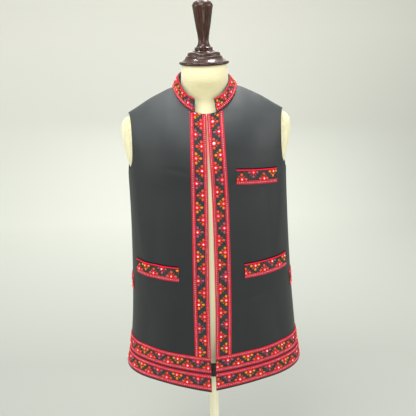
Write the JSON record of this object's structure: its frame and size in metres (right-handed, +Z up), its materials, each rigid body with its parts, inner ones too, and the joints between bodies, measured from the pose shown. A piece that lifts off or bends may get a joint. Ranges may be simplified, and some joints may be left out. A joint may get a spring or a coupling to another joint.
{
  "type": "vest on a dress form",
  "caption": "Sleeveless stand-collar vest with an open front and woven trims, worn by a limbless dress form on a stand.",
  "frame": {"origin": "middle of the base's underside, on the pole's axis", "axes": "+Z up along the pole; the vest's front faces -Y; +X is the viewer's right, the wearer's left"},
  "size_m": [0.4269, 0.3021, 1.16],
  "materials": {
    "vest_cloth": "charcoal black twill with a soft sheen",
    "woven_trim": "woven ribbon, crimson borders, small flowers on a black field",
    "form_linen": "cream jersey stretched over a hard form",
    "dark_wood": "dark brown turned wood, glossy lacquer",
    "cream_paint": "cream paint, satin",
    "black_plastic": "matt black"
  },
  "bodies": {
    "root": {"front_left": "vest_cloth", "front_right": "vest_cloth", "back": "vest_cloth", "collar": "vest_cloth", "collar_band": "woven_trim", "front_band_left": "woven_trim", "front_band_right": "woven_trim", "hem_band_upper_left": "woven_trim", "hem_band_upper_right": "woven_trim", "hem_band_upper_back": "woven_trim", "hem_band_lower_left": "woven_trim", "hem_band_lower_right": "woven_trim", "hem_band_lower_back": "woven_trim", "breast_pocket_band": "woven_trim", "pocket_band_left": "woven_trim", "pocket_band_right": "woven_trim", "back_band": "woven_trim", "dress_form": "form_linen", "neck_cap": "dark_wood", "finial": "dark_wood", "base": "dark_wood", "pole": "cream_paint", "socket": "black_plastic"}
  },
  "joints": []
}
